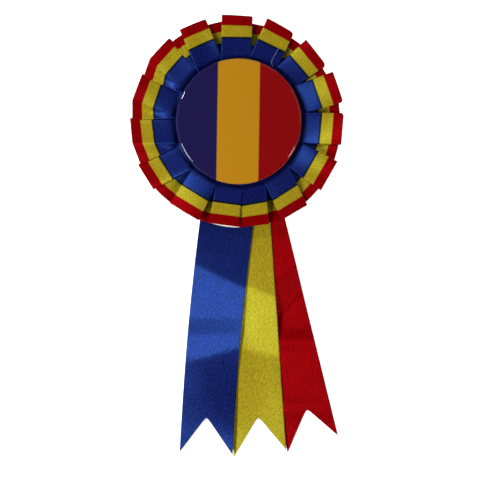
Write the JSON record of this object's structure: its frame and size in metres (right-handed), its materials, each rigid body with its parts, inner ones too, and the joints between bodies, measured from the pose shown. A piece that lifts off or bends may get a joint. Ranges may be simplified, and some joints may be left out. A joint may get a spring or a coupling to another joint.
{
  "type": "ribbon cockade",
  "caption": "Ribbon cockade: domed button badge with upright stripes on a box-pleated tricolour satin ruffle, over swallow-tailed ribbons, with a brooch pin at the back.",
  "frame": {"origin": "where the brooch pin's back meets the garment, straight behind the badge's middle", "axes": "+Z out of the badge's face, +Y towards 12 o'clock, so the tails run towards -Y; +X to the right as seen from the front"},
  "size_m": [0.0982, 0.2068, 0.0194],
  "materials": {
    "badge_print": "clear gloss film over a print of three upright stripes",
    "pin_metal": "plain nickel-plated steel",
    "ruffle_satin": "satin ribbon woven with a blue, a yellow and a red stripe",
    "card": "matt white card",
    "blue_satin": "satin ribbon",
    "yellow_satin": "satin ribbon",
    "red_satin": "satin ribbon"
  },
  "bodies": {
    "root": {"badge_shell": "badge_print", "badge_back": "pin_metal", "pleated_ribbon": "ruffle_satin", "backing_card": "card", "blue_tail": "blue_satin", "yellow_tail": "yellow_satin", "red_tail": "red_satin", "brooch_pin": "pin_metal"}
  },
  "joints": []
}
